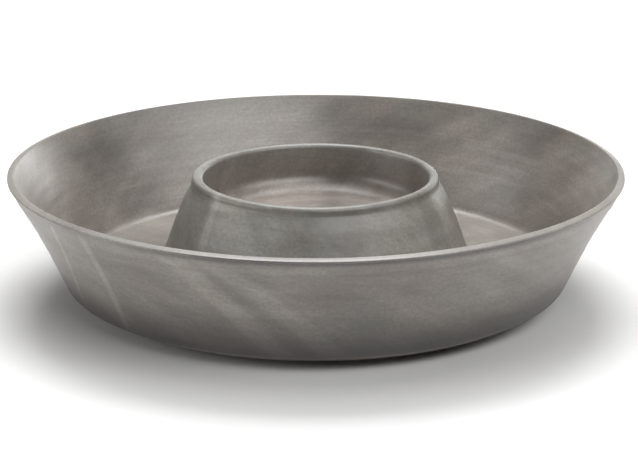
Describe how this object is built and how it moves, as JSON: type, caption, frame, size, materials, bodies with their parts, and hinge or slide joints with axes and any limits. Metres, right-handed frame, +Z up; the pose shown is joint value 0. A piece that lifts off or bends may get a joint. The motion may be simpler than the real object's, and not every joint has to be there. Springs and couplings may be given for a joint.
{
  "type": "chip and dip server",
  "caption": "Wide round stoneware serving dish with leaning walls and a flared, hollow-footed dip bowl that stands in its middle and lifts out.",
  "frame": {"origin": "centre of the foot ring's bottom, on the table", "axes": "+Z up along the turning axis of both pieces; the view in the reference looks along +Y"},
  "size_m": [0.368, 0.368, 0.0794],
  "materials": {
    "dish_glaze": "satin pewter-grey reactive glaze with fine throwing lines",
    "bowl_glaze": "satin pewter-grey reactive glaze with fine throwing lines"
  },
  "bodies": {
    "dish": {"chip_dish": "dish_glaze"},
    "bowl": {"dip_bowl": "bowl_glaze"}
  },
  "joints": [
    {"name": "dip_bowl_lift", "type": "slide", "parent": "dish", "child": "bowl", "axis": [0, 0, 1], "range_m": [0, 0.1]}
  ]
}
